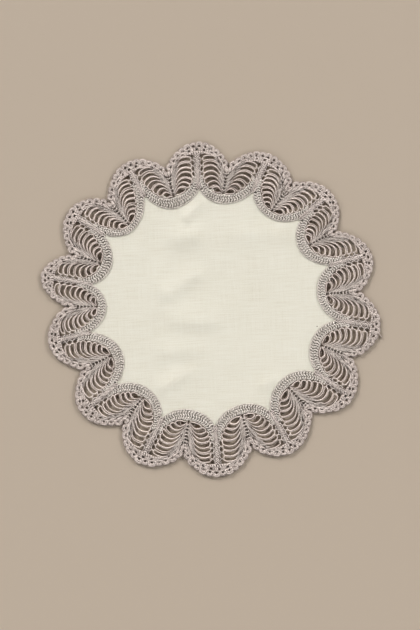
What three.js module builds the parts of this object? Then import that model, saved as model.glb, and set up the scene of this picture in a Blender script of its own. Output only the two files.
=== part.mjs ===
// Round linen table centre with a wide hairpin lace border, lying flat.
// Millimetres, +Z up. The underside lies on z = 0, +Y is the far side as the cloth is seen,
// and the origin is the middle of the cloth's outline.
// Turns are degrees clockwise from +Y, seen from above.
import * as THREE from "three";

// Thickness of the two cloths, and the gap where the lace is sewn round the linen.
const LINEN_THICKNESS = 1.0;
const LACE_THICKNESS = 1.5;
const SEAM_GAP = 0.3;

// Solid crochet round the linen: how far its sides climb past a linen point, how square the cup is
// that it makes under the loops (lower is squarer), and the half width of the rib that two of its sides
// make together, as a share of the half scallop.
const SIDE_CLIMB = 9.0;
const CUP_POWER = 0.34;
const RIB_SHARE = 0.19;
const RIB_TOP_SHARE = 0.18;

// Blunt end of a linen point: the heading's arc stops this many degrees from its deepest place.
const ARC_SWEEP = 72;
const ARC_STEPS = 6;

// Hairpin loops arch up on their way from the rib down to the valley: all of them a little,
// those at one level above the heading the most. A power of the way along bends them down to their roots,
// which lie closer together than their tops, the lower ones closest, as a power of the level gives.
const LOOP_ARCH = 1.9;
const LOOP_RISE = 2.7;
const RISE_LEVEL = 0.35;
const LOOP_BEND = 3.0;
const LOOP_ROOT_SHARE = 0.36;
const LOOP_ROOT_POWER = 1.6;
const LOOP_ROOT_ACROSS = 0.96;

// Each loop is open as a slot that starts blunt at the rib and closes towards the valley,
// sooner at the crown than at the heading.
const SLOT_OPEN = 0.6;
const SLOT_BLUNT = 0.5;
const SLOT_TAPER = 3;
const LOW_SLOT_REACH = 0.95;
const TOP_SLOT_REACH = 0.5;
const SLOT_STEPS = [0, 0.22, 0.6];

// Open wedge beside the rib, between the top loop and the edging.
// Its corners are given as [across, share of its height].
const WEDGE_TALL = 2.4;
const WEDGE_CORNERS = [[0.07, 1], [0.17, 1], [0.27, 0.5], [0.17, 0.2], [0.07, 0]];

// Picots round the lobes. A picot's round top lies between two shoulders,
// given as shares of its pitch, which dip by a share of its depth.
const PICOTS_PER_LOBE = 12;
const PICOT_DEPTH = 1.7;
const PICOT_SHOULDERS = [0.28, 0.72];
const SHOULDER_DIP = 0.2;

// Places along a lobe's edge that its curve goes through, from notch (-1) over the tip to notch (1).
const EDGE_STOPS = [-1, -0.75, -0.5, -0.25, 0, 0.25, 0.5, 0.75, 1];

// One row for each scallop, clockwise, as uneven as the cloth lies.
// lobe: the middle of the outer lobe. cusp: the linen point under it.
// notch: the dip in the outer edge after this lobe.
// heel: the deepest place of the heading under that notch, where the heading is this wide.
// crownDepth: from the lobe's tip to its top loops.
const SCALLOP_COLUMNS = [
  "lobeTurn", "lobeReach", "cuspTurn", "cuspReach", "notchTurn", "notchReach", "heelTurn", "heelReach",
  "headingWidth", "crownDepth", "leftLoops", "rightLoops",
];
const SCALLOP_ROWS = [
  [-5.0, 148.0, -5.7, 104.4, 7.3, 129.3, 6.0, 93.6, 7.9, 13.6, 7, 7],
  [20.9, 146.8, 20.0, 108.4, 33.4, 133.8, 32.3, 95.8, 5.3, 13.3, 7, 8],
  [46.3, 148.7, 45.3, 111.1, 58.7, 131.4, 57.6, 94.8, 8.8, 12.2, 8, 8],
  [71.7, 151.1, 70.3, 110.7, 84.0, 134.2, 83.3, 96.0, 7.5, 11.8, 8, 8],
  [96.7, 152.4, 95.7, 110.7, 109.7, 134.8, 108.7, 94.8, 9.0, 11.8, 8, 8],
  [122.7, 150.8, 121.5, 108.4, 136.0, 129.8, 135.9, 90.2, 8.8, 12.5, 8, 8],
  [150.4, 148.7, 150.0, 104.9, 163.5, 130.8, 163.8, 90.9, 8.6, 12.8, 8, 8],
  [177.3, 151.1, 177.8, 104.4, 190.5, 133.8, 190.9, 93.1, 9.8, 13.9, 8, 8],
  [204.4, 152.7, 203.7, 106.2, 217.0, 131.4, 216.7, 91.2, 8.7, 13.5, 8, 8],
  [230.9, 148.7, 230.5, 106.7, 244.0, 127.4, 244.1, 88.4, 9.6, 14.3, 8, 8],
  [257.5, 148.0, 258.4, 108.4, 270.3, 129.3, 270.5, 93.0, 7.6, 13.8, 8, 8],
  [280.6, 153.6, 281.0, 106.7, 291.0, 133.8, 291.9, 95.8, 9.3, 14.5, 8, 7],
  [304.0, 152.9, 304.3, 113.6, 316.2, 133.3, 315.2, 97.6, 5.5, 13.3, 8, 8],
  [329.7, 149.3, 329.1, 113.8, 342.2, 130.4, 341.6, 94.1, 9.7, 13.1, 8, 7],
];

const SCALLOPS = SCALLOP_ROWS.map((row) =>
  Object.fromEntries(SCALLOP_COLUMNS.map((column, i) => [column, row[i]])),
);

const { lerp, mapLinear, degToRad } = THREE.MathUtils;

function polar(reach, turn) {
  const angle = degToRad(turn);
  return new THREE.Vector2(reach * Math.sin(angle), reach * Math.cos(angle));
}

// The turn that is nearest to another one, a whole number of rounds away.
function turnNear(turn, other) {
  return turn - 360 * Math.round((turn - other) / 360);
}

// Half a scallop, from the rib in the middle of a lobe (across = 0) to a valley beside it (across = 1).
class HalfScallop {
  constructor(lobe, valley, loops) {
    this.lobe = lobe;
    this.valley = valley;
    this.loops = loops;
    this.notchTurn = turnNear(valley.notchTurn, lobe.lobeTurn);
    this.heelTurn = turnNear(valley.heelTurn, lobe.lobeTurn);
    this.loopBase = valley.heelReach + valley.headingWidth;
    this.loopCrown = lobe.lobeReach - lobe.crownDepth;
  }

  at(across, reach) {
    const { lobe, valley } = this;
    const ribTurn = mapLinear(reach, lobe.cuspReach, lobe.lobeReach, lobe.cuspTurn, lobe.lobeTurn);
    const valleyTurn = mapLinear(reach, valley.heelReach, valley.notchReach, this.heelTurn, this.notchTurn);
    return polar(reach, lerp(ribTurn, valleyTurn, across));
  }

  // Outline of the picots' tips, a parabola from the lobe's tip to the notch.
  edgeReach(across) {
    return lerp(this.lobe.lobeReach, this.valley.notchReach, across * across);
  }

  // The linen's edge, a round arc from the heel (sweep = 0) up to the blunt linen point.
  linenEdge(sweep) {
    const angle = degToRad(sweep);
    const climb = (1 - Math.cos(angle)) / (1 - Math.cos(degToRad(ARC_SWEEP)));
    return this.at(1 - Math.sin(angle), lerp(this.valley.heelReach, this.lobe.cuspReach, climb));
  }

  // How far across a loop that ends at this reach begins:
  // round the cup of the heading, then straight up the rib.
  loopStart(reach) {
    const shoulder = this.lobe.cuspReach + SIDE_CLIMB;
    if (reach > shoulder) {
      return mapLinear(reach, shoulder, this.loopCrown, RIB_SHARE, RIB_TOP_SHARE);
    }
    const climb = (reach - this.loopBase) / (shoulder - this.loopBase);
    return 1 - (1 - RIB_SHARE) * climb ** CUP_POWER;
  }

  // A point on the line that a thread at this level takes: level = 0 at the heading, 1 at the lobe's crown,
  // share = 0 at its foot on the rib or the heading, 1 at its root in the valley.
  thread(level, share) {
    const reachAt = (height) => lerp(this.loopBase, this.loopCrown, height);
    const most = level < RISE_LEVEL ? level / RISE_LEVEL : (1 - level) / (1 - RISE_LEVEL);
    const rise = LOOP_RISE * most;
    const foot = reachAt(level) - rise;
    const root = reachAt(LOOP_ROOT_SHARE * level ** LOOP_ROOT_POWER);
    const arch = (LOOP_ARCH + rise) * 4 * share * (1 - share);
    const reach = foot + arch - (foot - root) * share ** LOOP_BEND;
    return this.at(lerp(this.loopStart(foot), LOOP_ROOT_ACROSS, share), reach);
  }

  // The open slot inside one loop: blunt at the rib, closing to a point on its way to the valley.
  slot(loop) {
    const level = (loop + 0.5) / this.loops;
    const reach = lerp(LOW_SLOT_REACH, TOP_SLOT_REACH, level);
    const open = (step) => (step === 0 ? SLOT_BLUNT : 1 - step ** SLOT_TAPER) * SLOT_OPEN / 2 / this.loops;
    const upper = SLOT_STEPS.map((step) => this.thread(level + open(step), step * reach));
    const lower = SLOT_STEPS.map((step) => this.thread(level - open(step), step * reach));
    return [...upper, this.thread(level, reach), ...lower.reverse()];
  }

  wedge() {
    return WEDGE_CORNERS.map(([across, share]) => this.at(across, this.loopCrown + share * WEDGE_TALL));
  }

  openings() {
    const loops = Array.from({ length: this.loops }, (_, loop) => this.slot(loop));
    return [...loops, this.wedge()];
  }
}

// Left and right half of every lobe, clockwise.
const halves = SCALLOPS.map((lobe, i) => {
  const before = SCALLOPS.at(i - 1);
  return {
    left: new HalfScallop(lobe, before, lobe.leftLoops),
    right: new HalfScallop(lobe, lobe, lobe.rightLoops),
  };
});

// One lobe's outer edge, clockwise, with evenly spaced picots: a dip before each one, then its round top.
function picotEdge({ left, right }) {
  const tip = (along) => {
    const half = along < 0 ? left : right;
    const across = Math.abs(along);
    return half.at(across, half.edgeReach(across));
  };
  const tips = new THREE.SplineCurve(EDGE_STOPS.map(tip));
  const dipped = (share, dip) => {
    const tangent = tips.getTangentAt(share);
    const inward = new THREE.Vector2(tangent.y, -tangent.x);
    return tips.getPointAt(share).addScaledVector(inward, dip);
  };
  const points = [left.at(1, left.edgeReach(1) - PICOT_DEPTH)];
  for (let picot = 0; picot < PICOTS_PER_LOBE; picot++) {
    const share = (part) => (picot + part) / PICOTS_PER_LOBE;
    if (picot > 0) {
      points.push(dipped(share(0), PICOT_DEPTH));
    }
    points.push(...PICOT_SHOULDERS.map((part) => dipped(share(part), SHOULDER_DIP * PICOT_DEPTH)));
  }
  return points;
}

// The seam between linen and lace, clockwise:
// for each lobe, up to its linen point and down to the next heel.
function seamLine() {
  const sweeps = Array.from({ length: ARC_STEPS + 1 }, (_, i) => (i * ARC_SWEEP) / ARC_STEPS);
  return halves.flatMap(({ left, right }) => [
    ...sweeps.map((sweep) => left.linenEdge(sweep)),
    ...sweeps.slice(1).reverse().map((sweep) => right.linenEdge(sweep)),
  ]);
}

// Moves a closed clockwise line inwards by a distance, with mitred corners.
function inset(line, distance) {
  return line.map((point, i) => {
    const before = line.at(i - 1);
    const after = line[(i + 1) % line.length];
    const along = point.clone().sub(before).normalize();
    const onward = after.clone().sub(point).normalize();
    const normal = new THREE.Vector2(along.y + onward.y, -along.x - onward.x).normalize();
    const mitre = normal.x * along.y - normal.y * along.x;
    return point.clone().addScaledVector(normal, distance / mitre);
  });
}

// A flat cloth from its clockwise outline, turned round because a shape with holes runs anticlockwise.
function sheet(name, outline, holes, thickness, material) {
  const shape = new THREE.Shape(outline.toReversed());
  shape.holes = holes.map((hole) => new THREE.Path(hole));
  const geometry = new THREE.ExtrudeGeometry(shape, { depth: thickness, bevelEnabled: false });
  const mesh = new THREE.Mesh(geometry, material);
  mesh.name = name;
  return mesh;
}

const linenMaterial = new THREE.MeshStandardMaterial({ color: 0xe9e4d4, roughness: 0.9, metalness: 0 });
const laceMaterial = new THREE.MeshStandardMaterial({ color: 0xc9bdb4, roughness: 0.85, metalness: 0 });

const seam = seamLine();
const laceEdge = halves.flatMap(picotEdge);
const slots = halves.flatMap(({ left, right }) => [...left.openings(), ...right.openings()]);

const cloth = new THREE.Group();
cloth.add(sheet("linen_centre", inset(seam, SEAM_GAP), [], LINEN_THICKNESS, linenMaterial));
cloth.add(sheet("lace_border", laceEdge, [seam, ...slots], LACE_THICKNESS, laceMaterial));

// The cloth lies with the middle of its outline on the origin.
const middle = new THREE.Box2().setFromPoints(laceEdge).getCenter(new THREE.Vector2());
cloth.position.set(-middle.x, -middle.y, 0);

const tableCentre = new THREE.Group();
tableCentre.add(cloth);

export default tableCentre;
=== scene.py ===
import math

import bpy
import numpy as np
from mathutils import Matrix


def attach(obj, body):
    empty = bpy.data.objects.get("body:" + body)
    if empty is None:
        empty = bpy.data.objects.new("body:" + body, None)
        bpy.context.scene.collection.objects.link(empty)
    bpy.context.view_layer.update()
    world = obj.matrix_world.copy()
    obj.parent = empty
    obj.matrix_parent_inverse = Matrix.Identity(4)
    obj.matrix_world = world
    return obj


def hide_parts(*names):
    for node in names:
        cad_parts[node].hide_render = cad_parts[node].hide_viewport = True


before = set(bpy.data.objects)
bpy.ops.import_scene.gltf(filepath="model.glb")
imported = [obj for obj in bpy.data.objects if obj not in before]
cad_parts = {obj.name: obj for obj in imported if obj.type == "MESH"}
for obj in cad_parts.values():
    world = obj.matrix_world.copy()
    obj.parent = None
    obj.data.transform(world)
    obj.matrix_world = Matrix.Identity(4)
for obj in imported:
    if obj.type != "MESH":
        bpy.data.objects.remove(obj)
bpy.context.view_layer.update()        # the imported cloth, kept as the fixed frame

millimetre = 0.001
rng = np.random.default_rng(7)  # every small unevenness is drawn from here
print("frame loaded:", sorted(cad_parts))

# the cloth's plan in mm: turns are degrees clockwise from +Y, reaches run from the scallops' own centre
cloth = {
    "shift": (-0.151, 1.718),  # brings the middle of the outline to the origin
    "sideClimb": 9.0,  # how far the heading's sides climb past a linen point
    "ribShare": 0.19,  # half width of the rib, as a share of the half scallop
    "ribTopShare": 0.18,
    "arcSweep": 72.0,  # the linen's arc stops here, so its points are blunt
    "pointPower": 10,  # higher closes the headings sooner above a linen point
    "wedgeTall": 2.4,  # open wedge beside the rib, between the top loop and the edging
    "wedgeShares": (0.26, 0.2),  # where it ends towards the valley, and over how much
    "pastRib": -0.1,  # the top loops' line runs on this far
    "cupPower": 0.34,  # lower is squarer: the cup of heading that the loops start from
    "loopArch": 1.9,  # how far every loop arches up on its way to the valley
    "flatLevel": 0.08,  # below this level the loops arch less
    "loopRise": 2.7,  # how much more at the level that arches most
    "riseLevel": 0.35,
    "loopRoot": 0.36,  # the top loop's root, as a share of the loops' height
    "rootPower": 1.6,  # the lower loops' roots lie closer together
    "loopRootAcross": 0.96,
    "loopBend": 3.0,
}
# crownDepth runs from a lobe's tip to its top loops, headingWidth from a heel to the lowest loops beside it
scallopColumns = (
    "lobeTurn", "lobeReach", "cuspTurn", "cuspReach", "notchTurn", "notchReach", "heelTurn", "heelReach",
    "headingWidth", "crownDepth", "leftLoops", "rightLoops",
)
scallopRows = (
    (-5.0, 148.0, -5.7, 104.4, 7.3, 129.3, 6.0, 93.6, 7.9, 13.6, 7, 7),
    (20.9, 146.8, 20.0, 108.4, 33.4, 133.8, 32.3, 95.8, 5.3, 13.3, 7, 8),
    (46.3, 148.7, 45.3, 111.1, 58.7, 131.4, 57.6, 94.8, 8.8, 12.2, 8, 8),
    (71.7, 151.1, 70.3, 110.7, 84.0, 134.2, 83.3, 96.0, 7.5, 11.8, 8, 8),
    (96.7, 152.4, 95.7, 110.7, 109.7, 134.8, 108.7, 94.8, 9.0, 11.8, 8, 8),
    (122.7, 150.8, 121.5, 108.4, 136.0, 129.8, 135.9, 90.2, 8.8, 12.5, 8, 8),
    (150.4, 148.7, 150.0, 104.9, 163.5, 130.8, 163.8, 90.9, 8.6, 12.8, 8, 8),
    (177.3, 151.1, 177.8, 104.4, 190.5, 133.8, 190.9, 93.1, 9.8, 13.9, 8, 8),
    (204.4, 152.7, 203.7, 106.2, 217.0, 131.4, 216.7, 91.2, 8.7, 13.5, 8, 8),
    (230.9, 148.7, 230.5, 106.7, 244.0, 127.4, 244.1, 88.4, 9.6, 14.3, 8, 8),
    (257.5, 148.0, 258.4, 108.4, 270.3, 129.3, 270.5, 93.0, 7.6, 13.8, 8, 8),
    (280.6, 153.6, 281.0, 106.7, 291.0, 133.8, 291.9, 95.8, 9.3, 14.5, 8, 7),
    (304.0, 152.9, 304.3, 113.6, 316.2, 133.3, 315.2, 97.6, 5.5, 13.3, 8, 8),
    (329.7, 149.3, 329.1, 113.8, 342.2, 130.4, 341.6, 94.1, 9.7, 13.1, 8, 7),
)
scallops = [dict(zip(scallopColumns, row)) for row in scallopRows]


def polar(reach, turn):
    angle = np.radians(turn)
    plan = np.stack([reach * np.sin(angle), reach * np.cos(angle)], axis=-1)
    return plan + np.array(cloth["shift"])


def between(low, high, share):
    return low + (high - low) * share


def unit(vectors):
    tiny = 0.000001  # a length of nothing stays nothing
    return vectors / np.maximum(np.linalg.norm(vectors, axis=-1, keepdims=True), tiny)


def arched(share):
    return 4 * share * (1 - share)  # 0 at both ends, 1 half way


def evenPlaces(begin, end, pitch):
    count = round((end - begin) / pitch)
    return begin + (np.arange(count) + 0.5) * (end - begin) / count


def makeHalf(lobe, valley, way, loops):
    # half a scallop: across 0 is the rib of its lobe, across 1 the valley beside it
    half = {**lobe, "loops": loops, "way": way}  # way is 1 where heel to rib is clockwise
    for name in ("notch", "heel"):
        turn = valley[name + "Turn"]
        half[name + "Turn"] = turn - 360 * round((turn - lobe["lobeTurn"]) / 360)
        half[name + "Reach"] = valley[name + "Reach"]
    half["loopBase"] = valley["heelReach"] + valley["headingWidth"]
    half["loopCrown"] = lobe["lobeReach"] - lobe["crownDepth"]
    half["ribCrown"] = half["loopCrown"] + cloth["wedgeTall"]
    half["shoulder"] = lobe["cuspReach"] + cloth["sideClimb"]
    return half


def halfAt(half, across, reach):
    ribShare = (reach - half["cuspReach"]) / (half["lobeReach"] - half["cuspReach"])
    valleyShare = (reach - half["heelReach"]) / (half["notchReach"] - half["heelReach"])
    ribTurn = between(half["cuspTurn"], half["lobeTurn"], ribShare)
    valleyTurn = between(half["heelTurn"], half["notchTurn"], valleyShare)
    return polar(reach, between(ribTurn, valleyTurn, across))


def edgeReach(half, across):
    return between(half["lobeReach"], half["notchReach"], across * across)


def linenEdge(half, sweep):
    angle = np.radians(sweep)
    climb = (1 - np.cos(angle)) / (1 - math.cos(math.radians(cloth["arcSweep"])))
    return halfAt(half, 1 - np.sin(angle), between(half["heelReach"], half["cuspReach"], climb))


def loopStart(half, reach):
    climb = np.clip((reach - half["loopBase"]) / (half["shoulder"] - half["loopBase"]), 0, None)
    atHeading = 1 - (1 - cloth["ribShare"]) * climb ** cloth["cupPower"]
    ribClimb = (reach - half["shoulder"]) / (half["loopCrown"] - half["shoulder"])
    atRib = between(cloth["ribShare"], cloth["ribTopShare"], ribClimb)
    return np.where(reach > half["shoulder"], atRib, atHeading)


def loopRise(level):
    return cloth["loopRise"] * np.interp(level, (0, cloth["riseLevel"], 1), (0, 1, 0))


def loopFoot(half, level):
    # the reach at which a loop ends at the rib or the heading, below its arch
    return between(half["loopBase"], half["loopCrown"], level) - loopRise(level)


def threadAt(half, level, share):
    # level 0 is the heading, 1 the lobe's crown; share 0 is the rib, 1 the thread's root in the valley
    footReach = loopFoot(half, level)
    rootLevel = cloth["loopRoot"] * level ** cloth["rootPower"]
    rootReach = between(half["loopBase"], half["loopCrown"], rootLevel)
    onward = np.clip(share, 0, None)
    arch = cloth["loopArch"] * np.minimum(level / cloth["flatLevel"], 1) + loopRise(level)
    drop = (footReach - rootReach) * onward ** cloth["loopBend"]
    across = between(loopStart(half, footReach), cloth["loopRootAcross"], share)
    return halfAt(half, across, footReach + arch * arched(onward) - drop)


lobes = []
for number, lobe in enumerate(scallops):
    left = makeHalf(lobe, scallops[number - 1], 1, lobe["leftLoops"])
    right = makeHalf(lobe, lobe, -1, lobe["rightLoops"])
    lobes.append((left, right))
halves = [half for pair in lobes for half in pair]


def lengthAlong(points):
    # mm from the start to each point of a line, or of many lines at once
    steps = np.linalg.norm(np.diff(points, axis=-2), axis=-1)
    return np.concatenate([np.zeros(steps.shape[:-1] + (1,)), np.cumsum(steps, axis=-1)], axis=-1)


def evenLine(points, count):
    along = lengthAlong(points)
    stops = np.linspace(0, along[-1], count)
    return np.stack([np.interp(stops, along, points[:, axis]) for axis in (0, 1)], axis=1)


def makeStrip(inner, outer):
    # a long band of crochet between two matched lines, with mm measured along its middle
    stops = lengthAlong((inner + outer) / 2)

    def place(along, width):
        # width 0 is the inner line, 1 the outer line; past the ends it runs straight on
        along, width = np.broadcast_arrays(along, width)
        spot = np.clip(np.searchsorted(stops, along) - 1, 0, len(stops) - 2)
        part = ((along - stops[spot]) / (stops[spot + 1] - stops[spot]))[..., None]
        near = between(inner[spot], inner[spot + 1], part)
        far = between(outer[spot], outer[spot + 1], part)
        return between(near, far, width[..., None])

    return {"along": stops, "length": stops[-1], "place": place}


def headingStrip(half):
    # from the heel along the linen to its point, then up the rib to the crown
    fine, steps, feetSteps = 90, 60, 400
    arc = linenEdge(half, np.linspace(0, cloth["arcSweep"], fine))
    climb = np.linspace(0, 1, fine)
    blunt = (1 - math.sin(math.radians(cloth["arcSweep"]))) * (1 - climb) ** cloth["pointPower"]
    rib = halfAt(half, blunt, between(half["cuspReach"], half["ribCrown"], climb))
    turnReach = half["cuspReach"] + cloth["sideClimb"] / 2
    lowReach = between(half["loopBase"], turnReach, climb ** 2)
    highReach = between(turnReach, half["ribCrown"], climb)
    low = halfAt(half, loopStart(half, lowReach), lowReach)
    high = halfAt(half, loopStart(half, highReach), highReach)
    inner = np.concatenate([evenLine(arc, steps), evenLine(rib, steps)[1:]])
    outer = np.concatenate([evenLine(low, steps), evenLine(high, steps)[1:]])
    strip = makeStrip(inner, outer)
    strip["turn"] = strip["along"][steps - 1]  # where the linen's arc becomes the rib
    strip["way"] = half["way"]
    reaches = np.linspace(half["loopBase"], half["loopCrown"], feetSteps)
    feet = halfAt(half, loopStart(half, reaches), reaches)
    nearest = np.linalg.norm(feet[:, None] - outer[None], axis=2).argmin(axis=1)
    strip["footReach"] = reaches
    strip["footAlong"] = strip["along"][nearest]
    return strip


def movedOut(plan, distance):
    return plan + unit(plan - np.array(cloth["shift"])) * distance[:, None]


def edgingStrip(left, right):
    # from notch over the crown to notch; inner line along the picots' tips, outer line along the top loops
    fine, steps = 80, 180
    across = np.linspace(1, 0, fine)
    tips = [halfAt(half, across, edgeReach(half, across)) for half in (left, right)]
    shares = np.append(across, cloth["pastRib"])
    wedgeEnd, wedgeBlend = cloth["wedgeShares"]
    wedge = cloth["wedgeTall"] * np.clip((wedgeEnd - shares) / wedgeBlend, 0, 1)
    tops = [movedOut(threadAt(half, 1.0, shares), wedge) for half in (left, right)]
    tipLine = evenLine(np.concatenate([tips[0], tips[1][::-1][1:]]), steps)
    topLine = evenLine(np.concatenate([tops[0], tops[1][::-1]]), steps)
    strip = makeStrip(tipLine, topLine)
    onward = unit(np.gradient(tipLine, axis=0))
    apart = tipLine - topLine
    strip["deep"] = np.abs(onward[:, 0] * apart[:, 1] - onward[:, 1] * apart[:, 0])
    return strip


def stripWidth(strip, along, depth):
    # the width at which a place is this many mm inside the picots' tips
    return depth / np.interp(along, strip["along"], strip["deep"])


headingStrips = [headingStrip(half) for half in halves]
edgingStrips = [edgingStrip(left, right) for left, right in lobes]

# yarn: round strands swept along paths, gathered in a bundle and joined as one mesh
yarnWrap = {
    "unit": 10.0,  # mm of yarn for one unit of the map that its twist follows
    "start": 3.0,  # mm of the twist at which a strand may begin
}
stroke = {
    "stops": np.array([0, 0.28, 0.72, 1.0]),  # shares of the length of a short stitch
    "swell": np.array([0.62, 1.0, 1.0, 0.62]),  # its thickness there
    "loose": 0.1,  # mm that its ends stray
    "lift": 0.06,  # mm that its arch varies
    "bumps": 0.08,  # how far stitches differ in thickness
}


def raised(plan, height):
    level = np.broadcast_to(height, plan.shape[:-1])
    return np.concatenate([plan, level[..., None]], axis=-1)


def addYarn(bundle, paths, radii, shadeSpread=1.0):
    # paths: strands x stops x 3 in mm, radii: strands x stops
    # shadeSpread is how far the strands differ in tone
    sides = bundle["sides"]
    strands, stops = paths.shape[:2]
    radii = np.broadcast_to(radii, (strands, stops))
    tangent = unit(np.gradient(paths, axis=1))
    side = unit(np.cross(tangent, [0, 0, 1]))
    upward = np.cross(side, tangent)
    turn = 2 * np.pi * np.arange(sides) / sides
    ring = np.cos(turn)[:, None] * side[:, :, None] + np.sin(turn)[:, None] * upward[:, :, None]
    points = paths[:, :, None] + radii[:, :, None, None] * ring
    first = bundle["count"] + np.arange(strands)[:, None, None] * stops * sides
    row = np.arange(stops - 1)[None, :, None] * sides
    column = np.arange(sides)[None, None, :]
    after = (column + 1) % sides
    quads = [first + row + corner for corner in (column, sides + column, sides + after, after)]
    start = first[:, 0] + np.arange(sides)[None]
    finish = first[:, 0] + (stops - 1) * sides + np.arange(sides)[None, ::-1]
    length = lengthAlong(paths) + rng.uniform(0, yarnWrap["start"], (strands, 1))
    shades = 0.5 + shadeSpread * (rng.random(strands) - 0.5)
    added = {
        "points": points.reshape(-1, 3),
        "quads": np.stack(quads, axis=-1).reshape(-1, 4),
        "ends": np.concatenate([start, finish]),
        "lengths": np.repeat(length.ravel(), sides),
        "shades": np.repeat(shades, stops * sides),
    }
    for part, rows in added.items():
        bundle.setdefault(part, []).append(rows)
    bundle["count"] += strands * stops * sides


def makeYarnPiece(name, bundle, material):
    sides = bundle["sides"]
    points, quads, ends = (np.concatenate(bundle[part]) for part in ("points", "quads", "ends"))
    mesh = bpy.data.meshes.new(name)
    mesh.from_pydata(points * millimetre, [], quads.tolist() + ends.tolist(), shade_flat=False)
    wraps = mesh.uv_layers.new(name="yarnWrap")
    corners = np.concatenate([quads.ravel(), ends.ravel()])
    along = np.concatenate(bundle["lengths"])[corners] / yarnWrap["unit"]
    quadTurns = quads[:, :1] % sides + [0, 0, 1, 1]  # the last quad of a ring ends at a whole turn
    turns = np.concatenate([quadTurns.ravel(), np.tile(np.arange(sides), len(ends))]) / sides
    wraps.data.foreach_set("uv", np.column_stack([along, turns]).astype(np.float32).ravel())
    shade = mesh.attributes.new("strandShade", "FLOAT", "POINT")
    shade.data.foreach_set("value", np.concatenate(bundle["shades"]).astype(np.float32))
    mesh.validate()
    mesh.materials.append(material)
    piece = bpy.data.objects.new(name, mesh)
    bpy.context.scene.collection.objects.link(piece)
    triangles = 2 * len(quads) + (sides - 2) * len(ends)
    print(name, "has", triangles, "triangles")
    return piece


def layStrokes(bundle, place, begin, end, look):
    # short curved lengths of yarn between two places, arched so that their ends tuck under
    count = len(begin[0])
    stops = stroke["stops"]
    loose = look.get("loose", stroke["loose"])
    fromAlong = (begin[0] + rng.normal(0, loose, count))[:, None]
    toAlong = (end[0] + rng.normal(0, loose, count))[:, None]
    fromWidth = np.broadcast_to(begin[1], count)[:, None]
    toWidth = np.broadcast_to(end[1], count)[:, None]
    along = between(fromAlong, toAlong, stops) + look.get("bow", 0) * arched(stops)
    plan = place(along, between(fromWidth, toWidth, stops))
    arch = look["arch"] + rng.normal(0, stroke["lift"], (count, 1))
    height = between(look["from"], look["to"], stops) + arch * arched(stops)
    thick = look["radius"] * (1 + rng.normal(0, stroke["bumps"], (count, 1))) * stroke["swell"]
    addYarn(bundle, raised(plan, np.maximum(height, thick)), thick)


def layRail(bundle, place, low, high, rail):
    # one uneven strand that runs along a row of stitches
    stops = np.linspace(low, high, rail["stops"])
    acrossUneven, upUneven = rail["uneven"]
    plan = place(stops, rail["across"] + rng.normal(0, acrossUneven, len(stops)))
    height = rail["height"] + rng.normal(0, upUneven, len(stops))
    addYarn(bundle, raised(plan, height)[None], rail["radius"])


# finishes


def setInputs(tree, node, inputs):
    for name, value in inputs.items():
        if isinstance(value, bpy.types.NodeSocket):
            tree.links.new(value, node.inputs[name])
        else:
            node.inputs[name].default_value = value


def addNode(tree, kind, inputs, **settings):
    node = tree.nodes.new(kind)
    for name, value in settings.items():
        setattr(node, name, value)
    setInputs(tree, node, inputs)
    return node.outputs


def mathNode(tree, operation, *values):
    return addNode(tree, "ShaderNodeMath", dict(enumerate(values)), operation=operation)[0]


def weightedSum(tree, *parts):
    total = 0.0
    for value, weight in parts:
        total = mathNode(tree, "MULTIPLY_ADD", value, weight, total)
    return total


def sineNode(tree, value, rate):
    return mathNode(tree, "SINE", mathNode(tree, "MULTIPLY", value, rate))


def splitNode(tree, vector):
    return addNode(tree, "ShaderNodeSeparateXYZ", {0: vector})


def noiseNode(tree, vector, scale, detail, roughness=0.5):
    inputs = {"Vector": vector, "Scale": scale, "Detail": detail, "Roughness": roughness}
    return addNode(tree, "ShaderNodeTexNoise", inputs)["Fac"]


def mappingNode(tree, vector, scale=(1, 1, 1), turn=0.0):
    inputs = {"Vector": vector, "Scale": scale, "Rotation": (0, 0, math.radians(turn))}
    return addNode(tree, "ShaderNodeMapping", inputs)["Vector"]


def rampNode(tree, factor, positions, colours):
    ramp = tree.nodes.new("ShaderNodeValToRGB")
    while len(ramp.color_ramp.elements) < len(positions):
        ramp.color_ramp.elements.new(0.5)
    for element, position, colour in zip(ramp.color_ramp.elements, positions, colours):
        element.position = position
        element.color = (*colour, 1)
    tree.links.new(factor, ramp.inputs["Fac"])
    return ramp.outputs["Color"]


def mixNode(tree, factor, first, second):
    inputs = {"Factor": factor, "A": first, "B": second}
    return addNode(tree, "ShaderNodeMix", inputs, data_type="RGBA")["Result"]


def startMaterial(name):
    material = bpy.data.materials.new(name)
    material.use_nodes = True
    tree = material.node_tree
    return material, tree, tree.nodes["Principled BSDF"]


def finishShader(tree, shader, colour, height, finish):
    bump = addNode(tree, "ShaderNodeBump", {"Height": height, **finish["bump"]})["Normal"]
    setInputs(tree, shader, {"Base Color": colour, "Normal": bump, **finish["surface"]})


yarnFinish = {
    "plies": 3,
    "layLength": 2.6,  # mm of yarn for one full turn of a ply
    # painted shade in the grooves between the plies
    "plyTone": 0.46,
    "strandTone": 0.36,
    "topTone": 0.6,  # painted shade: how much darker a strand's sides are than its top and underside
    "belowSlope": 2.0,  # higher narrows the light band along the underside
    # painted shade: the tone that low and high places take, darker the lower they lie
    "deepTone": {"From Min": 0.0003, "From Max": 0.0015, "To Min": -1.2, "To Max": -0.31},
    "patch": (55, 3),  # scale and detail
    "patchTone": 0.3,
    "fuzz": (5200, 2),
    "fuzzBump": 0.45,
    "shadeStops": (0.15, 0.55, 0.95),  # tones of its shadow, middle and light colours
    "bump": {"Strength": 0.9, "Distance": 0.00009},
    "surface": {"Roughness": 0.92, "Specular IOR Level": 0.15, "Sheen Weight": 0.08},
}


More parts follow.
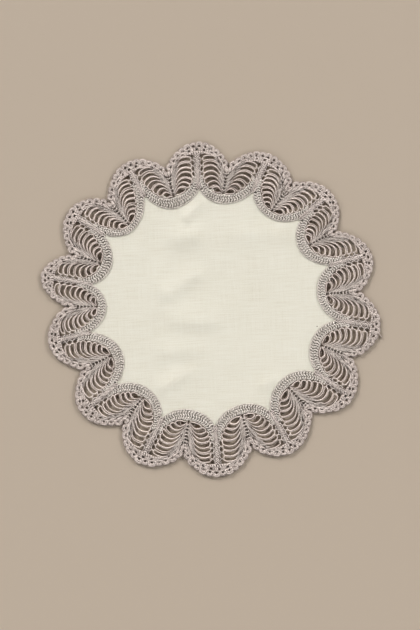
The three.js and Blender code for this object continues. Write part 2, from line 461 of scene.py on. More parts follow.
def yarnMaterial(name, shades, belowShades=None):
    material, tree, shader = startMaterial(name)
    along, around = splitNode(tree, addNode(tree, "ShaderNodeUVMap", {}, uv_map="yarnWrap")["UV"])[:2]
    plies = float(yarnFinish["plies"])
    twist = weightedSum(tree, (along, yarnWrap["unit"] * plies / yarnFinish["layLength"]), (around, plies))
    ply = mathNode(tree, "ABSOLUTE", sineNode(tree, twist, math.pi))
    place = addNode(tree, "ShaderNodeTexCoord", {})["Object"]
    fuzz = noiseNode(tree, place, *yarnFinish["fuzz"])
    patch = noiseNode(tree, place, *yarnFinish["patch"])
    strand = addNode(tree, "ShaderNodeAttribute", {}, attribute_name="strandShade")["Fac"]
    # 1 on top of a strand, 0 at its sides and -1 below; the sides take painted shade, and a band along the
    # underside is as light as the top and free of the painted depth shade
    facing = sineNode(tree, around, 2 * math.pi)
    slope = yarnFinish["belowSlope"]
    below = mathNode(tree, "MAXIMUM", mathNode(tree, "MULTIPLY_ADD", facing, -slope, 1 - slope), 0.0)
    flat = mathNode(tree, "MAXIMUM", facing, below)
    # painted shade: the lower a place lies, the darker its tone, except along a strand's underside
    deep = yarnFinish["deepTone"]
    level = mathNode(tree, "MULTIPLY_ADD", below, deep["From Max"], splitNode(tree, place)["Z"])
    depth = addNode(tree, "ShaderNodeMapRange", {"Value": level, **deep})["Result"]
    # tone: painted shade in the ply grooves, on the sides and low down, with random tone by strand and by
    # patch
    tone = weightedSum(
        tree, (ply, yarnFinish["plyTone"]), (flat, yarnFinish["topTone"]), (depth, 1.0),
        (strand, yarnFinish["strandTone"]), (patch, yarnFinish["patchTone"]),
    )
    colour = rampNode(tree, tone, yarnFinish["shadeStops"], shades)
    if belowShades:
        belowColour = rampNode(tree, tone, yarnFinish["shadeStops"], belowShades)
        colour = mixNode(tree, below, colour, belowColour)
    height = weightedSum(tree, (ply, 1.0), (fuzz, yarnFinish["fuzzBump"]))
    finishShader(tree, shader, colour, height, yarnFinish)
    return material


# shadow, middle and light colours of the yarn in each part of the lace; the rib's and the field's are
# darker, painted shade of their denser work
yarnShades = {
    "loop": ((0.20, 0.155, 0.13), (0.59, 0.49, 0.435), (0.74, 0.635, 0.575)),
    "heading": ((0.215, 0.18, 0.155), (0.585, 0.515, 0.45), (0.81, 0.735, 0.665)),
    "rib": ((0.155, 0.12, 0.105), (0.50, 0.42, 0.375), (0.755, 0.66, 0.60)),
    "edging": ((0.17, 0.13, 0.11), (0.545, 0.455, 0.405), (0.82, 0.71, 0.645)),
    "field": ((0.15, 0.115, 0.10), (0.43, 0.367, 0.323), (0.70, 0.61, 0.55)),
}
groundPaintedShade = ((0.09, 0.075, 0.06), (0.18, 0.155, 0.13), (0.28, 0.245, 0.21))
yarns = {part: yarnMaterial(part + "Yarn", shades) for part, shades in yarnShades.items()}
# the yarn under the heading is painted dark as shade only where it shows from above; below it takes the
# heading's colours
yarns["ground"] = yarnMaterial("groundYarn", groundPaintedShade, yarnShades["heading"])

linenFinish = {
    "threadPitch": 0.00062,
    "weaveTurn": -2.5,  # degrees
    # how far the slubs are drawn out and their weight in the tone: weft, then warp
    "slubs": (((1.0, 26.0, 1.0), 0.46), ((38.0, 1.0, 1.0), 0.27)),
    "slub": (38, 3, 0.62),  # scale, detail and roughness
    "slubBump": 4.0,
    "grain": (1300, 1),
    "grainTone": 0.26,
    "patch": (18, 2),
    "patchTone": 0.1,
    "shadeStops": (0.36, 0.5, 0.64),
    "shades": ((0.715, 0.665, 0.535), (0.81, 0.765, 0.64), (0.86, 0.825, 0.71)),
    "specks": (((0.0945, -0.0151, 0.0), 0.0005), ((-0.0918, 0.0028, 0.0), 0.0003)),  # place and radius
    "speckColour": (0.20, 0.12, 0.06, 1),
    "bump": {"Strength": 0.6, "Distance": 0.00005},
    "surface": {"Roughness": 0.94, "Specular IOR Level": 0.15, "Sheen Weight": 0.08},
}


def linenMaterial():
    material, tree, shader = startMaterial("ivoryLinen")
    place = mappingNode(tree, addNode(tree, "ShaderNodeTexCoord", {})["Object"], scale=(1, 1, 0))
    turned = mappingNode(tree, place, turn=linenFinish["weaveTurn"])
    rate = 2 * math.pi / linenFinish["threadPitch"]
    warp, weft = (sineNode(tree, way, rate) for way in splitNode(tree, turned)[:2])
    weave = mathNode(tree, "MULTIPLY", warp, weft)
    slubs = []
    for stretch, weight in linenFinish["slubs"]:
        slub = noiseNode(tree, mappingNode(tree, turned, scale=stretch), *linenFinish["slub"])
        slubs.append((slub, weight))
    slub = weightedSum(tree, *slubs)
    grain = noiseNode(tree, place, *linenFinish["grain"])
    patch = noiseNode(tree, place, *linenFinish["patch"])
    grainTone, patchTone = linenFinish["grainTone"], linenFinish["patchTone"]
    tone = weightedSum(tree, (slub, 1.0), (grain, grainTone), (patch, patchTone))
    colour = rampNode(tree, tone, linenFinish["shadeStops"], linenFinish["shades"])
    for spot, radius in linenFinish["specks"]:
        apart = addNode(tree, "ShaderNodeVectorMath", {0: place, 1: spot}, operation="DISTANCE")["Value"]
        within = mathNode(tree, "LESS_THAN", apart, radius)
        colour = mixNode(tree, within, colour, linenFinish["speckColour"])
    height = weightedSum(tree, (weave, 1.0), (slub, linenFinish["slubBump"]))
    finishShader(tree, shader, colour, height, linenFinish)
    return material


print("finishes made")

# the linen: one thin sheet whose edge runs on under the heading
linenCloth = {
    "thickness": 0.5,
    "edgeSteps": 16,  # points on the edge of each half scallop
    "rings": 52,
    "heelReachUnder": 0.86,  # how far the edge runs under the heading, as a share of its width
    "pointReachUnder": 0.35,
    "pointPower": 3,  # higher keeps it far under until close to the point
    "peekLength": 0.14,
}
# where the linen's edge shows past the heading, by half scallop: how far from heel to point, how much shows
linenPeeks = {
    0: (0.22, 0.14), 1: (0.58, 0.22), 2: (0.15, 0.12), 5: (0.5, 0.2), 7: (0.6, 0.22), 15: (0.2, 0.12),
    16: (0.2, 0.14), 18: (0.2, 0.16), 20: (0.42, 0.2), 21: (0.65, 0.25), 23: (0.3, 0.2), 27: (0.4, 0.28),
}
# soft ridges in mm from the origin: start, end, half width on the near and the far side, height
linenCreases = (
    ((-9.0, 95.0), (-21.0, 82.0), 5.0, 5.0, 0.80),
    ((-28.0, 63.0), (-17.0, 65.0), 9.5, 12.0, 1.0),
    ((-14.0, 29.5), (-37.0, 14.0), 6.5, 10.0, 0.66),
    ((-28.0, -10.5), (-3.0, -12.0), 7.0, 14.0, 0.66),
    ((-36.0, -38.5), (-19.0, -38.5), 7.0, 13.0, 0.56),
    ((-19.0, -57.0), (-43.0, -69.0), 6.0, 8.0, 0.62),
    ((44.0, -69.0), (57.0, -62.5), 4.5, 5.5, 0.42),
    ((23.0, 66.0), (36.0, 66.0), 8.0, 10.0, 0.38),
    ((55.0, 66.0), (67.0, 66.0), 7.0, 9.0, 0.34),
)


def creaseHeight(plan):
    height = np.zeros(len(plan))
    for start, end, nearWidth, farWidth, rise in linenCreases:
        start, end = np.array(start), np.array(end)
        line = end - start
        share = np.clip((plan - start) @ line / (line @ line), 0, 1)
        apart = plan - (start + share[:, None] * line)
        away = np.linalg.norm(apart, axis=1)
        farShare = 0.5 + 0.5 * unit(apart)[:, 1]  # turns smoothly round the ends
        height += rise * np.exp(-(away / between(nearWidth, farWidth, farShare)) ** 2)
    return height


def reachUnder(number, order):
    toPoint = order ** linenCloth["pointPower"]
    under = between(linenCloth["heelReachUnder"], linenCloth["pointReachUnder"], toPoint)
    if number in linenPeeks:
        middle, extra = linenPeeks[number]
        near = np.exp(-((order - middle) / linenCloth["peekLength"]) ** 2)
        under = between(under, np.maximum(under, 1 + extra), near)
    return under


def makeLinen():
    rim = []
    shares = np.linspace(0, 1, linenCloth["edgeSteps"], endpoint=False)
    for number, strip in enumerate(headingStrips):
        order = 1 - shares if number % 2 else shares
        rim.append(strip["place"](order * strip["turn"], reachUnder(number, order)))
    rim = np.concatenate(rim)
    bpy.ops.object.select_all(action="DESELECT")
    bpy.ops.mesh.primitive_circle_add(vertices=len(rim), fill_type="NOTHING")
    linen = bpy.context.object
    linen.name = "linen_cloth"
    linen.data.name = "linen_cloth"
    flat = np.column_stack([rim * millimetre, np.zeros(len(rim))])
    linen.data.vertices.foreach_set("co", flat.astype(np.float32).ravel())
    bpy.ops.object.mode_set(mode="EDIT")
    bpy.ops.mesh.select_all(action="SELECT")
    for ring in range(linenCloth["rings"], 1, -1):
        shrink = (ring - 1) / ring
        bpy.ops.mesh.extrude_edges_move()
        bpy.ops.transform.resize(value=(shrink, shrink, 1), center_override=(0, 0, 0))
    bpy.ops.mesh.edge_face_add()
    bpy.ops.mesh.poke()
    bpy.ops.mesh.select_all(action="SELECT")
    bpy.ops.mesh.normals_make_consistent(inside=False)
    bpy.ops.object.mode_set(mode="OBJECT")
    mesh = linen.data
    points = np.zeros(len(mesh.vertices) * 3, np.float32)
    mesh.vertices.foreach_get("co", points)
    points = points.reshape(-1, 3)
    points[:, 2] = (creaseHeight(points[:, :2] / millimetre) + linenCloth["thickness"]) * millimetre
    mesh.vertices.foreach_set("co", points.ravel())
    mesh.update()
    return linen


linen = makeLinen()
solid = linen.modifiers.new("thickness", "SOLIDIFY")
solid.thickness = linenCloth["thickness"] * millimetre
solid.offset = -1
bpy.ops.object.modifier_apply(modifier="thickness")
bpy.ops.object.shade_smooth()
linen.data.materials.append(linenMaterial())
print("linen has", len(linen.data.polygons), "faces")

# the hairpin loops: each one runs from the valley up one side of its slot, round at the rib and back
hairpin = {
    "radius": 0.48,
    "valleyRadius": 0.28,  # drawn thin where the threads gather in the valley
    "thinFrom": 0.40,  # share of the way to the valley where the thinning starts
    "barSpacing": (0.42, 1.0),  # mm between the two threads of a bar, at the heading and at the crown
    "openUneven": 0.10,
    "openings": (0.48, 0.49),  # half a slot at most and at its root, in pitches
    "sideStops": 13,
    "roundEnd": 1.25,  # mm from the middle of a loop's round end to its tip
    "roundTurns": (25, 58, 90, 122, 155),  # degrees of the stops round that end
    "rootShare": 0.985,
    "levels": (0.004, 0.998),  # the lowest and the highest that a thread may lie
    "height": 1.15,
    "valleyHeight": 0.7,
    "sideBySide": 0.1,  # a loop's upper side lies a little higher
    "crossing": 0.1,  # and more so at the root, where it passes over
    "wave": 0.12,  # slow rise and fall of a thread along its way
    "waveRate": 7,
    "waveStart": 6,  # every wave starts somewhere from 0 to here
    "lowLift": 0.15,  # the lowest loops lie on the linen's edge
    "lowLoops": 2,
    "uneven": 0.055,
    "bumps": 0.07,  # how far the yarn's thickness varies
}
# thin ends of yarn that wander across their slots
stray = {
    "chances": (0.75, 0.6, 0.2, 0.12),  # of one in the lowest slots, the last for all above
    "radius": 0.24,
    "height": 0.8,
    "wave": 0.1,
    "waveRates": (4, 8),
    "wander": 0.08,
    "places": (0.15, 0.85),  # where it may begin and end across its slot
    "shares": (0.02, 0.86),  # where it begins and ends on the way to the valley
    "stops": 14,
}

# the field below each notch: lanes of stitches over the ends of the upper loops, which sink under them
field = {
    "look": {"radius": 0.39, "from": 0.7, "to": 0.75, "arch": 0.4},
    "stitch": 2.8,
    "missing": 0.26,  # share of the stitches left out, as small holes
    "laneSpacing": 1.5,
    "laneLength": 26.0,  # mm from a rib to the valley
    "lowest": 0.38,  # level of the lowest lane
    # where the lanes start on the way to the valley, by level
    "levels": (0.25, 0.38, 0.44, 0.56, 0.69, 0.81, 0.94, 1.0),
    "starts": (1.0, 0.84, 0.795, 0.73, 0.66, 0.57, 0.45, 0.42),
    "startStray": (-0.02, 0.04),
    "end": 0.99,
    "loose": 0.006,  # how far ends stray, as a share of the way to the valley
    "overlap": 0.3,
    "sinkShare": 0.12,
    "threadHeight": 0.42,
    "edgeDepth": 8.8,  # mm inside the picots' tips where the lanes along the edge begin
    "bandShare": 0.2,  # this far to each side of the crown, a band of stitches takes their place
    "edgeStart": 0.6,  # mm that such a lane may begin early or late
    "edgeLength": 1.3,  # length of its stitches, in steps
    "edgeRoom": 0.3,  # mm that it keeps from the top loop
    "edgeLoose": 0.15,
}


def fieldStart(level):
    return np.interp(level, field["levels"], field["starts"])


def threadOffset(half, level):
    # from the middle of a slot to its thread, as a share of the pitch
    pitch = (half["loopCrown"] - half["loopBase"]) / half["loops"]
    low, high = hairpin["barSpacing"]
    return 0.5 - between(low, high, level) / (2 * pitch)  # 0.5 would lay two threads on each other


def loopPath(half, loop):
    pitch = 1 / half["loops"]
    middle = (loop + 0.5 + rng.normal(0, hairpin["uneven"])) * pitch
    near, far = 0.1, 0.9
    span = np.linalg.norm(threadAt(half, middle, far) - threadAt(half, middle, near)) / (far - near)
    rounds = np.radians(hairpin["roundTurns"])
    endReach = hairpin["roundEnd"] / span
    side = between(endReach, hairpin["rootShare"], np.linspace(1, 0, hairpin["sideStops"]))
    share = np.concatenate([side, endReach * (1 - np.sin(rounds)), side[::-1]])
    full = np.ones(len(side))
    upward = np.concatenate([-full, -np.cos(rounds), full])
    toRoot = np.clip((share - hairpin["thinFrom"]) / (1 - hairpin["thinFrom"]), 0, 1)
    opening = threadOffset(half, middle) * (1 + rng.normal(0, hairpin["openUneven"]))
    most, atRoot = hairpin["openings"]
    opening = between(min(opening, most), atRoot, toRoot)
    level = np.clip(middle + upward * opening * pitch, *hairpin["levels"])
    radii = between(hairpin["radius"], hairpin["valleyRadius"], toRoot)
    height = between(hairpin["height"], hairpin["valleyHeight"], toRoot ** 2)
    wave = np.sin(share * hairpin["waveRate"] + rng.uniform(0, hairpin["waveStart"]))
    height += hairpin["wave"] * wave * (1 - toRoot)
    height += (hairpin["sideBySide"] + hairpin["crossing"] * toRoot) * upward
    height += hairpin["lowLift"] * max(1 - loop / hairpin["lowLoops"], 0)
    covered = np.clip((share - fieldStart(level)) / field["sinkShare"], 0, 1)
    height = between(height, field["threadHeight"], covered)
    radii *= 1 + rng.normal(0, hairpin["bumps"], len(radii))
    return raised(threadAt(half, level, share), np.maximum(height, radii)), radii


def strayPath(half, loop):
    along = np.linspace(0, 1, stray["stops"])
    first, last = rng.uniform(*stray["places"], 2)
    wave = np.sin(along * rng.uniform(*stray["waveRates"]) + rng.uniform(0, hairpin["waveStart"]))
    wander = between(first, last, along) + stray["wander"] * wave
    level = np.clip((loop + wander) / half["loops"], *hairpin["levels"])
    plan = threadAt(half, level, between(*stray["shares"], along))
    return raised(plan, stray["height"] + stray["wave"] * wave)


def layLoops(bundle):
    slots = [(half, loop) for half in halves for loop in range(half["loops"])]
    laid = [loopPath(half, loop) for half, loop in slots]
    addYarn(bundle, np.stack([path for path, radii in laid]), np.stack([radii for path, radii in laid]))
    chances = stray["chances"]
    strays = [spot for spot in slots if rng.random() < chances[min(spot[1], len(chances) - 1)]]
    addYarn(bundle, np.stack([strayPath(half, loop) for half, loop in strays]), stray["radius"])


def atCrown(strip, along):
    return np.abs(along / strip["length"] - 0.5) < field["bandShare"]


def layEdgeLanes(bundle, strip):
    # lanes that follow the lobe's edge, between the edging and the top loop
    look = {**field["look"], "loose": field["edgeLoose"]}
    step, early = field["stitch"], field["edgeStart"]
    for depth in np.arange(field["edgeDepth"], strip["deep"].max(), field["laneSpacing"]):
        begin = np.arange(0, strip["length"] - step / 2, step) + rng.uniform(-early, early)
        end = np.minimum(begin + field["edgeLength"] * step, strip["length"])
        middle = (begin + end) / 2
        deep = np.interp(middle, strip["along"], strip["deep"])
        kept = (deep > depth + field["edgeRoom"]) & ~atCrown(strip, middle)
        kept &= rng.random(len(begin)) > field["missing"]
        begin, end = begin[kept], end[kept]
        fromWidth, toWidth = stripWidth(strip, begin, depth), stripWidth(strip, end, depth)
        layStrokes(bundle, strip["place"], (begin, fromWidth), (end, toWidth), look)


def layField(bundle):
    for strip in edgingStrips:
        layEdgeLanes(bundle, strip)
    look = {**field["look"], "loose": field["loose"]}
    for half in halves:
        place = lambda share, level, half=half: threadAt(half, level, share)
        lanes = round((1 - field["lowest"]) * (half["loopCrown"] - half["loopBase"]) / field["laneSpacing"])
        for level in np.linspace(field["lowest"], 1.0, lanes):
            begin = float(fieldStart(level)) + rng.uniform(*field["startStray"])
            count = max(1, round((1 - begin) * field["laneLength"] / field["stitch"]))
            edges = np.linspace(begin, field["end"], count + 1)
            kept = rng.random(count) > field["missing"]
            reach = field["overlap"] / count * (1 - begin)
            fromShare, toShare = edges[:-1][kept] - reach, edges[1:][kept] + reach
            layStrokes(bundle, place, (fromShare, level), (toShare, level), look)


# the heading along the linen: an edge of chain, rows of doubled slanting stitches, chain beside the loops
heading = {
    "pitch": 2.3,
    "rowLook": {"radius": 0.46, "from": 1.0, "to": 0.95, "arch": 0.32, "loose": 0.14},
    # each row's widths, the way of its slant and how many mm it goes on up the rib
    "rows": ((0.03, 0.35, 1, 0.0), (0.32, 0.63, -1, 11.0), (0.60, 0.90, 1, 11.0)),
    "doubling": 0.33,
    "slant": 1.2,
    "bow": 0.25,
    "chainLook": {"radius": 0.414, "from": 0.9, "to": 1.0, "arch": 0.2, "loose": 0.3},
    "chainWidths": ((-0.07, 0.0), (0.88, 0.84)),  # where its stitches begin and end
    "chainReach": 1.3,  # their length, in steps
}
# yarn that runs along under the heading's stitches, painted dark as the shade that shows between them
ground = {
    "radius": 0.45,
    "height": 0.85,
    "widths": (0.1, 0.23, 0.36, 0.49, 0.62, 0.75, 0.87),
    "ends": (-0.6, 5.0),  # mm from the heel and past the linen point
    "stops": 26,
}


def layHeading(bundle):
    for strip in headingStrips:
        place = strip["place"]
        along = evenPlaces(0, strip["turn"], heading["pitch"])
        pitch = strip["turn"] / len(along)
        for fromWidth, toWidth, slantWay, climb in heading["rows"]:
            upRib = (np.arange(len(along) + round(climb / pitch)) + 0.5) * pitch
            way = strip["way"] * slantWay
            lean = way * heading["slant"] / 2
            look = {**heading["rowLook"], "bow": way * heading["bow"]}
            for double in (-heading["doubling"], heading["doubling"]):
                middle = upRib + double
                layStrokes(bundle, place, (middle - lean, fromWidth), (middle + lean, toWidth), look)
        stepOn = along + strip["way"] * heading["chainReach"] * pitch
        for fromWidth, toWidth in heading["chainWidths"]:
            layStrokes(bundle, place, (along, fromWidth), (stepOn, toWidth), heading["chainLook"])


def layGround(bundle):
    first, last = ground["ends"]
    widths = np.array(ground["widths"])[:, None]
    plans = []
    for strip in headingStrips:
        along = np.linspace(first, strip["turn"] + last, ground["stops"])
        plans.append(strip["place"](along, widths))
    addYarn(bundle, raised(np.concatenate(plans), ground["height"]), ground["radius"])


# the ribs: a core of chain up the middle of each lobe, tied to the loops by a net of strands
rib = {
    "pitch": 1.9,
    "coreStart": 0.5,  # mm above the linen point
    "coreWidth": 0.32,
    # upper and lower chain: mm up the rib where a stitch begins and ends, first width, shift of the last
    "chains": (
        (-1.2, 1.3, -0.1, 0.0, {"radius": 0.52, "from": 1.0, "to": 0.95, "arch": 0.4}),
        (1.0, -0.8, 0.06, 0.06, {"radius": 0.52, "from": 0.55, "to": 0.6, "arch": 0.25}),
    ),
    "netLook": {"radius": 0.42, "from": 0.8, "to": 0.9, "arch": 0.35},
    "netStart": 5.0,
    "knotWidth": 0.66,  # where the strands from the core meet
    "knotApart": 0.2,  # mm from the middle of a knot to each strand
    "tieSpread": 0.8,  # mm to each side on a loop's end
    "tuck": 0.04,  # strands run on this far under others
    # a strand that runs up through the net
    "rail": {"across": 0.48, "radius": 0.378, "height": 0.85, "uneven": (0.03, 0.08), "stops": 24},
    "railEnd": 0.5,  # mm below the crown
}


def layRibs(bundle):
    tuck, knot, core = rib["tuck"], rib["knotWidth"], rib["coreWidth"]
    for strip, half in zip(headingStrips, halves):
        place = strip["place"]
        along = evenPlaces(strip["turn"] + rib["coreStart"], strip["length"], rib["pitch"])
        for begin, end, width, shift, look in rib["chains"]:
            layStrokes(bundle, place, (along + begin, width), (along + end, core + shift), look)
        levels = (np.arange(half["loops"]) + 0.5) / half["loops"]
        feet = np.interp(loopFoot(half, levels), strip["footReach"], strip["footAlong"])
        halfPitch = (feet[-1] - feet[-2]) / 2
        netStart = strip["turn"] + rib["netStart"]
        feet = feet[feet > netStart]
        layRail(bundle, place, netStart, strip["length"] - rib["railEnd"], rib["rail"])
        for side in (-1, 1):
            atCore = feet + side * halfPitch
            atKnot = feet - side * rib["knotApart"]
            atLoop = feet + side * rib["tieSpread"]
            layStrokes(bundle, place, (atCore, core - tuck), (atKnot, knot), rib["netLook"])
            layStrokes(bundle, place, (atKnot, knot - tuck), (atLoop, 1 + tuck), rib["netLook"])


# the valleys: the loops of two sides are drawn through each other as a plait towards the heel
valley = {
    "look": {"radius": 0.40, "from": 1.05, "to": 1.1, "arch": 0.4, "bow": 0.2},
    "pitch": 3.0,
    "across": (0.92, 1.015),  # where a strand begins and ends
    "tall": 0.9,  # mm that a strand runs down, so that holes stay open
    "start": 1.2,  # mm above the loops' base
    "stop": 6.0,  # mm below the notch
    # a strand that runs along each side of the plaits
    "rail": {"across": 0.963, "radius": 0.40, "height": 0.75, "uneven": (0.004, 0.06), "stops": 24},
}


def layValleys(bundle):
    fromAcross, toAcross = valley["across"]
    for half in halves:
        place = lambda reach, across, half=half: halfAt(half, across, reach)
        low = half["loopBase"] + valley["start"]
        high = half["notchReach"] - valley["stop"]
        reach = evenPlaces(low, high, valley["pitch"])
        layStrokes(bundle, place, (reach + valley["tall"], fromAcross), (reach, toAcross), valley["look"])
        layRail(bundle, place, low, high, valley["rail"])


# the edging: a row of stitches on the top loops, posts that leave a hole between picots, and the picots
edging = {
    "pitch": 2.1,
    "picots": 12,
    "endPicot": 0.32,  # from a notch to the nearest picot, as a share of their pitch
    "notchBend": 7.0,  # mm over which the rows bend out to meet the next lobe's
    "bendPower": 1.5,
    "picotRow": (5.7, 0.30, 0.72),  # mm inside the tips; its width at a notch, and the most it may be
    "baseRow": (8.8, 0.62, 0.90),
    "lastWidth": 1.0,  # where a chain closes the stitches
    "tuck": 0.02,  # stitches run on this far under others
    "baseLook": {"radius": 0.48, "from": 0.8, "to": 0.85, "arch": 0.4, "bow": 0.2},
    "doubling": 0.27,
    "lean": 0.5,  # mm from a stitch's foot to its head
    "chainLook": {"radius": 0.456, "from": 0.6, "to": 0.7, "arch": 0.3},
    "chainReach": 1.5,  # length of its stitches, in steps
    "chainSpread": 0.035,
    "postLook": {"radius": 0.48, "from": 0.65, "to": 0.65, "arch": 0.35, "bow": 0.15},
    "posts": (0.22, 0.34, 0.45, 0.55, 0.66, 0.78),  # shares of the way from dip to dip
}


def rowWidth(strip, along, row):
    depth, atNotch, most = row
    plain = np.minimum(stripWidth(strip, along, depth), most)
    fromNotch = np.clip(np.minimum(along, strip["length"] - along) / edging["notchBend"], 0, 1)
    return between(atNotch, plain, fromNotch ** edging["bendPower"])


def picotPlaces(strip):
    pitch = strip["length"] / (edging["picots"] - 1 + 2 * edging["endPicot"])
    return (np.arange(edging["picots"]) + edging["endPicot"]) * pitch


def layEdging(bundle):
    last, tuck, chain = edging["lastWidth"], edging["tuck"], edging["chainLook"]
    for strip in edgingStrips:
        place = strip["place"]
        along = evenPlaces(0, strip["length"], edging["pitch"])
        stepOn = along + edging["chainReach"] * strip["length"] / len(along)
        band = atCrown(strip, along)
        baseWidth = rowWidth(strip, along, edging["baseRow"])[band]
        for double in (-edging["doubling"], edging["doubling"]):
            foot = along[band] + double
            head = foot + edging["lean"]
            layStrokes(bundle, place, (foot, baseWidth - tuck), (head, last + tuck), edging["baseLook"])
        for row, kept in ((edging["picotRow"], along >= 0), (edging["baseRow"], band)):
            here = rowWidth(strip, along, row)[kept]
            there = rowWidth(strip, stepOn, row)[kept]
            for spread in (-edging["chainSpread"], edging["chainSpread"]):
                layStrokes(bundle, place, (along[kept], here), (stepOn[kept], there + spread), chain)
        layStrokes(bundle, place, (along[band], last), (stepOn[band], last), chain)
        places = picotPlaces(strip)
        picotPitch = places[1] - places[0]
        posts = (places[:, None] + (np.array(edging["posts"]) - 0.5) * picotPitch).ravel()
        postFrom = rowWidth(strip, posts, edging["picotRow"])
        postTo = rowWidth(strip, posts, edging["baseRow"])
        layStrokes(bundle, place, (posts, postFrom), (posts, postTo + tuck), edging["postLook"])


picot = {
    "radius": 0.46,
    "tall": 4.3,  # mm from the picot's tip to the middle of its hole
    "halfWidth": 0.60,  # share of the way from tip to tip, so that neighbours overlap
    "uneven": (0.05, 0.04),  # how far picots differ in height and in width
    "overlap": 0.11,  # mm that every second picot lies higher, and the others lower
    "shadeSpread": 0.35,  # the long rim strands differ less in tone
    "squareness": 0.74,  # 1 would make its outline a plain oval
    "hole": (0.66, 0.82),  # half width and half height of the hole
    "fan": 108,  # degrees to each side of straight out
    "rims": ((0.5, 0.6), (1.2, 0.95)),  # how far inside the outline each rim strand lies, and its height
    "rimStops": 13,
    "posts": 11,
    "postFan": 0.92,  # share of the fan that the posts take
    "postInset": 1.05,
    "postHeight": 0.65,
    "postArch": 0.35,
    "fillerLook": {"radius": 0.46, "from": 0.5, "to": 0.55, "arch": 0.2},
    "filler": (3.1, 5.9),  # mm inside the tips: stitches in the dips between picots
    "doubling": 0.35,
}


def bulge(value):
    return np.sign(value) * np.abs(value) ** picot["squareness"]


def layPicots(bundle):
    radius, inset, fan = picot["radius"], picot["postInset"], picot["fan"]
    rimTurns = np.radians(np.linspace(-fan, fan, picot["rimStops"]))
    postTurns = np.radians(picot["postFan"] * np.linspace(-fan, fan, picot["posts"]))
    holeWide, holeTall = picot["hole"]
    tallUneven, wideUneven = picot["uneven"]
    stops = stroke["stops"]
    onward = 0.5  # mm to a second point that shows which way the edge runs
    for strip in edgingStrips:
        along = picotPlaces(strip)
        count = len(along)
        tip = strip["place"](along, 0)
        ahead = strip["place"](along + onward, 0)
        sideways = unit(ahead - tip)
        away = np.column_stack([-sideways[:, 1], sideways[:, 0]])
        hole = tip - away * picot["tall"]
        tall = picot["tall"] * (1 + rng.normal(0, tallUneven, (count, 1)))
        apart = np.linalg.norm(np.gradient(tip, axis=0), axis=1)[:, None]
        wide = picot["halfWidth"] * apart * (1 + rng.normal(0, wideUneven, (count, 1)))

        def around(turns, halfWide, halfTall):
            # points round the hole on a squarish oval, flatter on the side of the rows
            across = halfWide * bulge(np.sin(turns))
            out = np.where(np.cos(turns) > 0, halfTall, halfWide) * bulge(np.cos(turns))
            return hole[:, None] + across[..., None] * sideways[:, None] + out[..., None] * away[:, None]

        dips = (along[:-1] + along[1:]) / 2
        fromWidth, toWidth = (stripWidth(strip, dips, depth) for depth in picot["filler"])
        for double in (-picot["doubling"], picot["doubling"]):
            begin, end = (dips + double / 2, fromWidth), (dips + double, toWidth)
            layStrokes(bundle, strip["place"], begin, end, picot["fillerLook"])
        overlap = picot["overlap"] * (-1.0) ** np.arange(count)[:, None]
        for rimInset, height in picot["rims"]:
            plan = around(rimTurns, wide - rimInset, tall - rimInset)
            addYarn(bundle, raised(plan, height + overlap), radius, picot["shadeSpread"])
        inner = around(postTurns, holeWide + radius, holeTall + radius)[:, :, None]
        outer = around(postTurns, wide - inset, tall - inset)[:, :, None]
        plan = between(inner, outer, stops[:, None]).reshape(-1, len(stops), 2)
        height = picot["postHeight"] + picot["postArch"] * arched(stops)
        addYarn(bundle, raised(plan, height), radius * stroke["swell"])


# one end of yarn that has worked loose from a picot on the right
looseYarn = {
    "turns": (98.2, 98.5, 98.9, 99.4, 99.9, 100.2),
    "reaches": (147.0, 149.5, 151.6, 153.4, 154.9, 156.0),
    "heights": (0.9, 0.95, 0.8, 0.6, 0.45, 0.42),
    "radii": (0.42, 0.42, 0.42, 0.378, 0.315, 0.189),
}


def layLooseYarn(bundle):
    plan = polar(np.array(looseYarn["reaches"]), np.array(looseYarn["turns"]))
    addYarn(bundle, raised(plan, looseYarn["heights"])[None], np.array(looseYarn["radii"]))


# the pieces of the lace as they are laid: name, yarn and sides of a strand
laceTable = (
    (layLoops, "hairpin_loops", "loop", 8),
    (layField, "notch_fields", "field", 6),
    (layHeading, "heading_stitches", "heading", 5),
    (layGround, "heading_ground", "ground", 5),
    (layRibs, "rib_stitches", "rib", 6),
    (layValleys, "valley_plaits", "field", 6),
    (layEdging, "edging_rows", "edging", 6),
    (layPicots, "picot_edge", "edging", 6),
    (layLooseYarn, "loose_yarn", "edging", 6),
)
for lay, name, yarn, sides in laceTable:
    bundle = {"sides": sides, "count": 0}
    lay(bundle)
    piece = makeYarnPiece(name, bundle, yarns[yarn])
    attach(piece, "root")
    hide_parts("lace_border")
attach(linen, "root")
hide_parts("linen_centre")
print("cloth declared")

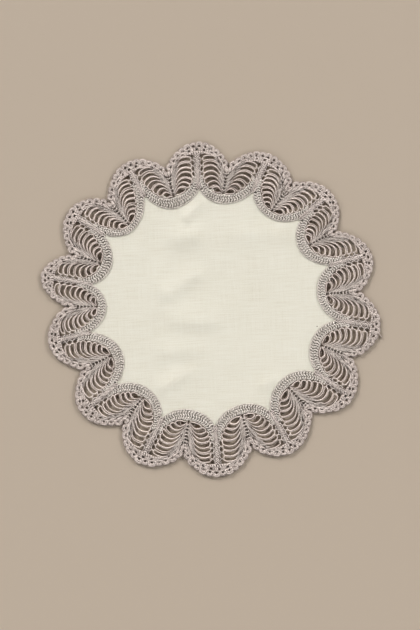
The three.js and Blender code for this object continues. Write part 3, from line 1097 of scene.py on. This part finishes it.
# plain pale floor, soft light that comes in low from all round, camera straight above
stage = {
    "floorSize": 6.0,
    "floorFinish": {"Base Color": (0.50, 0.41, 0.32, 1), "Roughness": 0.85},
    "lightHeight": 15.0,  # degrees above the floor
    "lightSoftness": 12.0,
    "lights": (("keyLight", 125.0, 3.1), ("sideLight", 35.0, 1.8)),  # turn from +X in degrees, power
    # the sky's brightness by height, as the sine of the angle above the floor
    "skyHeights": (0.0, 0.10, 0.20, 0.32, 0.42),
    "skyLights": (1.0, 1.0, 4.6, 4.6, 0.02),
}

bpy.ops.object.select_all(action="DESELECT")
bpy.ops.mesh.primitive_plane_add(size=stage["floorSize"], location=(0, 0, 0))
floor = bpy.context.object
floor.name = "floor"
material, tree, shader = startMaterial("paleFloor")
setInputs(tree, shader, stage["floorFinish"])
floor.data.materials.append(material)

height = math.radians(stage["lightHeight"])
level = math.cos(height)
for name, turn, power in stage["lights"]:
    angle = math.radians(turn)
    toLight = (level * math.cos(angle), level * math.sin(angle), math.sin(height))
    bpy.ops.object.light_add(type="SUN", location=toLight)
    light = bpy.context.object
    light.name = name
    light.data.angle = math.radians(stage["lightSoftness"])
    light.data.energy = power
    light.rotation_euler = (-light.location).to_track_quat("-Z", "Y").to_euler()

world = bpy.data.worlds.new("softSky")
world.use_nodes = True
tree = world.node_tree
upward = splitNode(tree, addNode(tree, "ShaderNodeTexCoord", {})["Generated"])["Z"]
skyColours = [(bright,) * 3 for bright in stage["skyLights"]]
sky = rampNode(tree, upward, stage["skyHeights"], skyColours)
tree.links.new(sky, tree.nodes["Background"].inputs["Color"])
bpy.context.scene.world = world
bpy.context.scene.view_settings.view_transform = "Standard"

view = {
    "lens": 50.0,
    "sensor": 36.0,
    "pixel": 0.000889,  # metres of cloth for one pixel
    "frame": (420, 630),
    "clothCentre": (210.5, 307.5),  # pixel of the scallops' own centre
}
wide, tall = view["frame"]
away = view["pixel"] * tall * view["lens"] / view["sensor"]
centreX, centreY = view["clothCentre"]
x = (wide / 2 - centreX) * view["pixel"] + cloth["shift"][0] * millimetre
y = (centreY - tall / 2) * view["pixel"] + cloth["shift"][1] * millimetre
bpy.ops.object.camera_add(location=(x, y, away), rotation=(0, 0, 0))
camera = bpy.context.object
camera.data.lens = view["lens"]
camera.data.sensor_width = view["sensor"]
bpy.context.scene.camera = camera
print("stage set")
